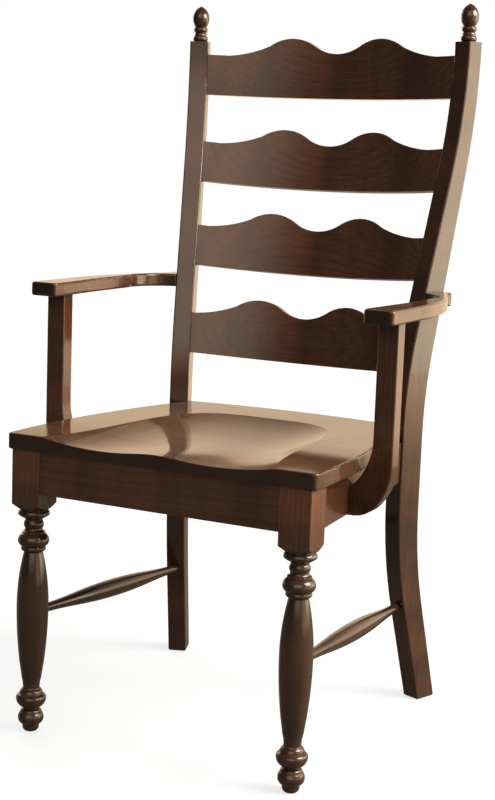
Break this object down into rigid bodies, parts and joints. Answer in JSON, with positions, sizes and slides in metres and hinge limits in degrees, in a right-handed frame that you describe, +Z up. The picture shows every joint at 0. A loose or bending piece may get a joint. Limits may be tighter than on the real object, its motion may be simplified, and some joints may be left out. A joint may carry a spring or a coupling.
{
  "type": "ladderback armchair",
  "caption": "Wooden ladderback armchair with turned front legs, sawn back posts with finials, bowed slats, a scooped seat and J-shaped arm supports.",
  "frame": {"origin": "on the floor, in the middle of the chair's width and depth", "axes": "+Z up, +Y towards the back, +X towards the sitter's left; front faces -Y"},
  "size_m": [0.5962, 0.5778, 1.114],
  "materials": {
    "stained_wood": "dark brown stain under glossy lacquer",
    "seat_wood": "dark brown stain under glossy lacquer",
    "plug_wood": "dark stained plug, lacquered",
    "bare_wood": "bare planed hardwood",
    "steel": "zinc plated"
  },
  "bodies": {
    "root": {"arm_dowels": "bare_wood", "arm_left": "stained_wood", "arm_post_plugs": "plug_wood", "arm_post_screws": "steel", "arm_right": "stained_wood", "arm_support_left": "stained_wood", "arm_support_right": "stained_wood", "arm_support_screws": "steel", "back_apron": "stained_wood", "back_post_left": "stained_wood", "back_post_right": "stained_wood", "corner_block_front_left": "bare_wood", "corner_block_front_right": "bare_wood", "corner_block_rear_left": "bare_wood", "corner_block_rear_right": "bare_wood", "corner_block_screws": "steel", "finial_left": "stained_wood", "finial_right": "stained_wood", "front_apron": "stained_wood", "front_leg_left": "stained_wood", "front_leg_right": "stained_wood", "seat_board_1": "seat_wood", "seat_board_2": "seat_wood", "seat_board_3": "seat_wood", "seat_board_4": "seat_wood", "seat_board_5": "seat_wood", "seat_screws": "steel", "side_apron_left": "stained_wood", "side_apron_right": "stained_wood", "side_stretcher_left": "stained_wood", "side_stretcher_right": "stained_wood", "slat_1": "stained_wood", "slat_2": "stained_wood", "slat_3": "stained_wood", "slat_4": "stained_wood"}
  },
  "joints": []
}
